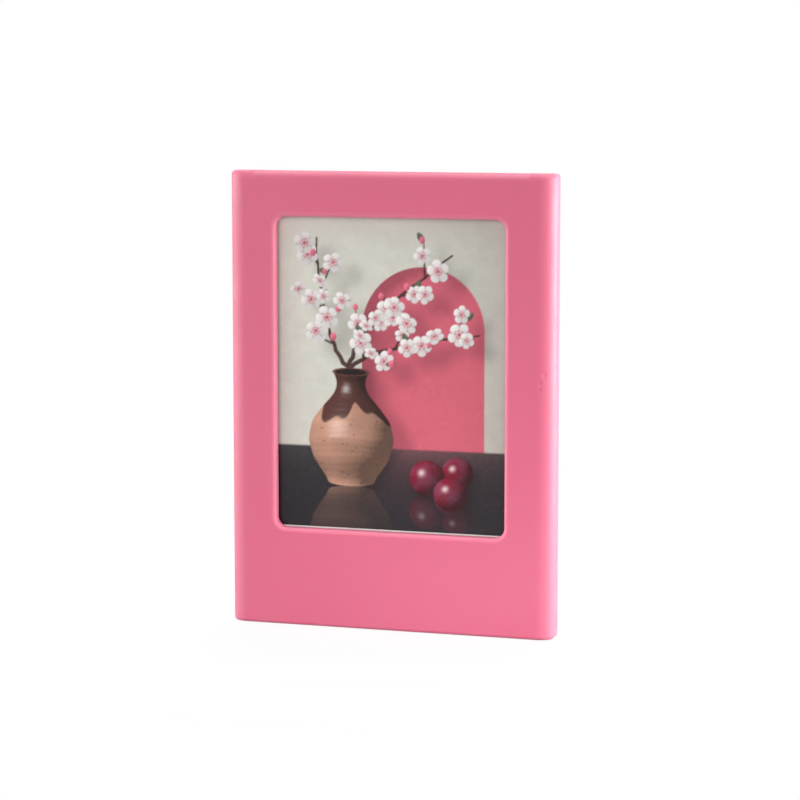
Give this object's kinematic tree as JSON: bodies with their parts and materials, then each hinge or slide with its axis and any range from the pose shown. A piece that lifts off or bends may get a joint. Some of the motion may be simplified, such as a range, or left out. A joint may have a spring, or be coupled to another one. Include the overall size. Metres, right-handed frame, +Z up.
{
  "type": "magnetic photo frame",
  "caption": "Slim moulded photo frame with a rounded window, a top slot that takes a mini instant print, and a snap-in back plate whose disc magnets hold it to steel.",
  "frame": {"origin": "centre of the flat rear face that the magnets pull against a steel surface", "axes": "+X to the viewer's right, +Y out of the rear face, +Z up along the frame's height"},
  "size_m": [0.0668, 0.0052, 0.091],
  "materials": {
    "pink_plastic": "satin moulded",
    "magnet_nickel": "bright nickel plate",
    "glue_film": "clear acrylic film",
    "print_white": "smooth satin",
    "picture_gloss": "glossy print",
    "pod_foil": "satin foil",
    "print_black": "matte"
  },
  "bodies": {
    "frame": {"front_shell": "pink_plastic", "rear_cover": "pink_plastic", "magnet_upper_left": "magnet_nickel", "magnet_upper_right": "magnet_nickel", "magnet_lower_left": "magnet_nickel", "magnet_lower_right": "magnet_nickel", "magnet_glue_upper_left": "glue_film", "magnet_glue_upper_right": "glue_film", "magnet_glue_lower_left": "glue_film", "magnet_glue_lower_right": "glue_film"},
    "print": {"print_mask": "print_white", "print_picture_sheet": "picture_gloss", "print_spacer_left": "print_white", "print_spacer_right": "print_white", "print_developer_pod": "pod_foil", "print_developer_trap": "print_white", "print_back_sheet": "print_black"}
  },
  "joints": [
    {"name": "print_slide", "type": "slide", "parent": "frame", "child": "print", "axis": [0, 0, 1], "range_m": [0, 0.089]}
  ]
}
